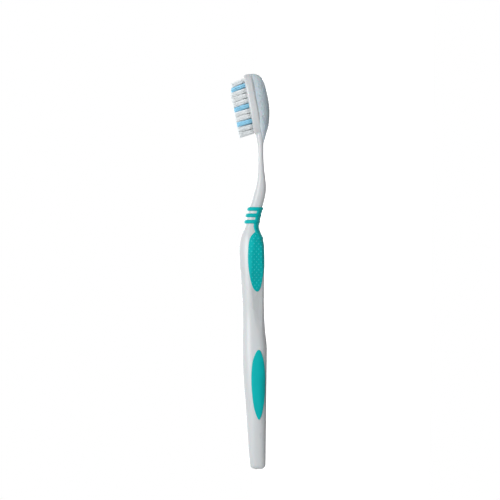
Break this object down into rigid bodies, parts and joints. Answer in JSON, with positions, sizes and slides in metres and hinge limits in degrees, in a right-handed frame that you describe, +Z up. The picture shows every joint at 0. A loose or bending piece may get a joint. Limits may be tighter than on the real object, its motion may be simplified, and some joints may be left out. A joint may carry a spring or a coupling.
{
  "type": "manual toothbrush",
  "caption": "Adult manual toothbrush with a curved two-material handle, ringed neck, tilted head with raked white and blue tufts, and a domed soft tongue cleaner on its back",
  "frame": {"origin": "on the surface that the brush lies on, below the middle of its length and width", "axes": "+X runs from the butt of the handle to the tip of the head, +Z is up and the bristles point up, Y goes across"},
  "size_m": [0.1898, 0.0138, 0.0188],
  "materials": {
    "handle_plastic": "pale pearl gloss, injection moulded",
    "teal_grip": "satin soft moulding",
    "cleaner_rubber": "satin translucent soft moulding with small raised dots",
    "white_nylon": "frosted nylon filaments",
    "blue_nylon": "frosted blue nylon filaments",
    "anchor_metal": "plain nickel-brass strip"
  },
  "bodies": {
    "root": {"handle": "handle_plastic", "upper_grip": "teal_grip", "lower_grip": "teal_grip", "tongue_cleaner": "cleaner_rubber", "tuft_anchors": "anchor_metal", "tuft_row01_1": "white_nylon", "tuft_row01_2": "white_nylon", "tuft_row02_1": "blue_nylon", "tuft_row02_2": "blue_nylon", "tuft_row02_3": "blue_nylon", "tuft_row03_1": "white_nylon", "tuft_row03_2": "white_nylon", "tuft_row03_3": "white_nylon", "tuft_row03_4": "white_nylon", "tuft_row04_1": "white_nylon", "tuft_row04_2": "white_nylon", "tuft_row04_3": "white_nylon", "tuft_row04_4": "white_nylon", "tuft_row05_1": "white_nylon", "tuft_row05_2": "white_nylon", "tuft_row05_3": "white_nylon", "tuft_row05_4": "white_nylon", "tuft_row06_1": "blue_nylon", "tuft_row06_2": "blue_nylon", "tuft_row06_3": "blue_nylon", "tuft_row06_4": "blue_nylon", "tuft_row07_1": "white_nylon", "tuft_row07_2": "white_nylon", "tuft_row07_3": "white_nylon", "tuft_row07_4": "white_nylon", "tuft_row08_1": "white_nylon", "tuft_row08_2": "white_nylon", "tuft_row08_3": "white_nylon", "tuft_row08_4": "white_nylon", "tuft_row09_1": "blue_nylon", "tuft_row09_2": "blue_nylon", "tuft_row09_3": "blue_nylon", "tuft_row09_4": "blue_nylon", "tuft_row10_1": "white_nylon", "tuft_row10_2": "white_nylon", "tuft_row10_3": "white_nylon", "tuft_row11_1": "white_nylon", "tuft_row11_2": "white_nylon"}
  },
  "joints": []
}
